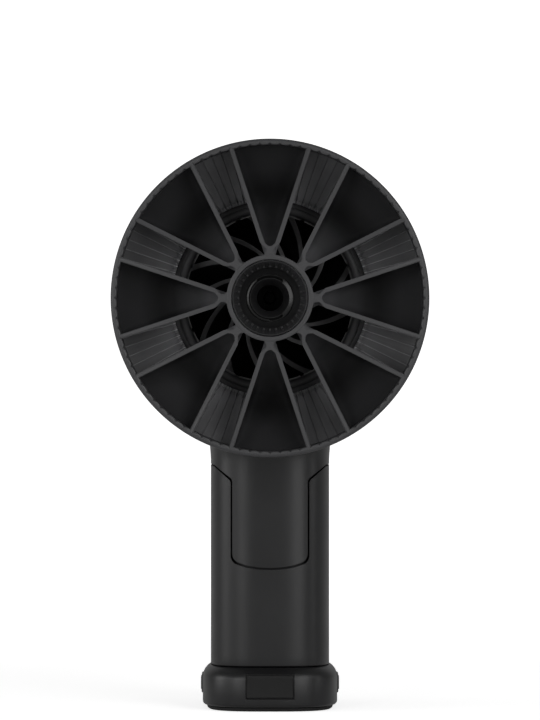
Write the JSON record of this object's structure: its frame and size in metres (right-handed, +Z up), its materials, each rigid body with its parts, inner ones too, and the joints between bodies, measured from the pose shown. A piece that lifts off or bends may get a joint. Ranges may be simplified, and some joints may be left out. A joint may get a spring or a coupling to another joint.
{
  "type": "cordless car dryer blower",
  "caption": "Pistol-grip cordless air blower for drying cars: ribbed round intake, ducted fan, push-fit nozzle, finger trigger and slide-out battery in the handle.",
  "frame": {"origin": "centre of the bounding box in X and Y, on the floor under the battery foot", "axes": "+Z up along the handle, +Y along the fan axis towards the nozzle, intake facing -Y, +X to the right seen from the intake side"},
  "size_m": [0.115, 0.174, 0.2095],
  "materials": {
    "guard_plastic": "satin charcoal moulding",
    "gloss_black": "smooth deep black",
    "fan_black": "matt black glass-filled nylon",
    "bell_plastic": "dark grey satin with fine radial lines",
    "shell_plastic": "dark grey satin",
    "soft_grip": "soft-touch dark grey",
    "rubber": "matt black rubber",
    "nylon": "black nylon",
    "steel": "plain steel",
    "magnet": "dark laminated iron",
    "copper": "enamelled copper",
    "board_green": "green circuit board",
    "cell_wrap": "plain blue shrink wrap"
  },
  "bodies": {
    "body": {"intake_guard": "guard_plastic", "baffle_sleeve": "gloss_black", "intake_scoop_1": "gloss_black", "intake_scoop_2": "gloss_black", "intake_scoop_3": "gloss_black", "intake_scoop_4": "gloss_black", "intake_scoop_5": "gloss_black", "intake_scoop_6": "gloss_black", "intake_scoop_7": "gloss_black", "intake_scoop_8": "gloss_black", "intake_bell": "bell_plastic", "hub_cup": "nylon", "hub_trim_ring": "gloss_black", "barrel_housing": "shell_plastic", "front_collar": "guard_plastic", "nozzle_seal": "rubber", "collar_screw_1": "steel", "collar_screw_2": "steel", "collar_screw_3": "steel", "stator_housing": "nylon", "front_mount_ring": "rubber", "rear_mount_ring": "rubber", "front_bearing": "steel", "rear_bearing": "steel", "stator_core": "magnet", "stator_windings": "copper", "motor_end_cap": "nylon", "tail_cone": "fan_black", "grip_shell": "soft_grip", "trigger_switch": "nylon", "trigger_spring": "steel", "control_board": "board_green", "board_capacitor": "gloss_black", "terminal_block": "nylon"},
    "rotor": {"impeller": "fan_black", "impeller_nut": "steel", "motor_shaft": "steel", "rotor_magnet": "magnet"},
    "nozzle_unit": {"nozzle": "shell_plastic", "nozzle_tip": "rubber"},
    "trigger_unit": {"trigger": "guard_plastic", "trigger_plunger": "steel"},
    "battery": {"battery_case": "nylon", "battery_lid": "nylon", "battery_cell_1": "cell_wrap", "battery_cell_2": "cell_wrap", "battery_cell_3": "cell_wrap", "battery_cell_4": "cell_wrap", "battery_foot": "shell_plastic", "foot_pad": "rubber", "pack_board": "board_green", "charge_port": "steel", "left_latch_spring": "steel", "right_latch_spring": "steel"},
    "port_flap": {"port_cover": "rubber"},
    "left_latch": {"left_latch_button": "guard_plastic"},
    "right_latch": {"right_latch_button": "guard_plastic"}
  },
  "joints": [
    {"name": "rotor_spin", "type": "hinge", "parent": "body", "child": "rotor", "pos_m": [0, 0, 0.152], "axis": [0, 1, 0], "continuous": true},
    {"name": "nozzle_pull", "type": "slide", "parent": "body", "child": "nozzle_unit", "axis": [0, 1, 0], "range_m": [0, 0.03]},
    {"name": "trigger_pull", "type": "slide", "parent": "body", "child": "trigger_unit", "axis": [0, -1, 0], "range_m": [0, 0.006], "stiffness_N_per_m": 350, "springref_m": -0.008, "deforming": ["trigger_spring"]},
    {"name": "battery_slide", "type": "slide", "parent": "body", "child": "battery", "axis": [0, 0, -1], "range_m": [0, 0.08]},
    {"name": "port_cover_open", "type": "hinge", "parent": "battery", "child": "port_flap", "pos_m": [0, -0.0481, 0.0055], "axis": [1, 0, 0], "range_deg": [0, 95]},
    {"name": "left_latch_press", "type": "slide", "parent": "battery", "child": "left_latch", "axis": [1, 0, 0], "range_m": [0, 0.0015], "stiffness_N_per_m": 600, "springref_m": -0.003, "deforming": ["left_latch_spring"]},
    {"name": "right_latch_press", "type": "slide", "parent": "battery", "child": "right_latch", "axis": [-1, 0, 0], "range_m": [0, 0.0015], "stiffness_N_per_m": 600, "springref_m": -0.003, "deforming": ["right_latch_spring"]}
  ]
}
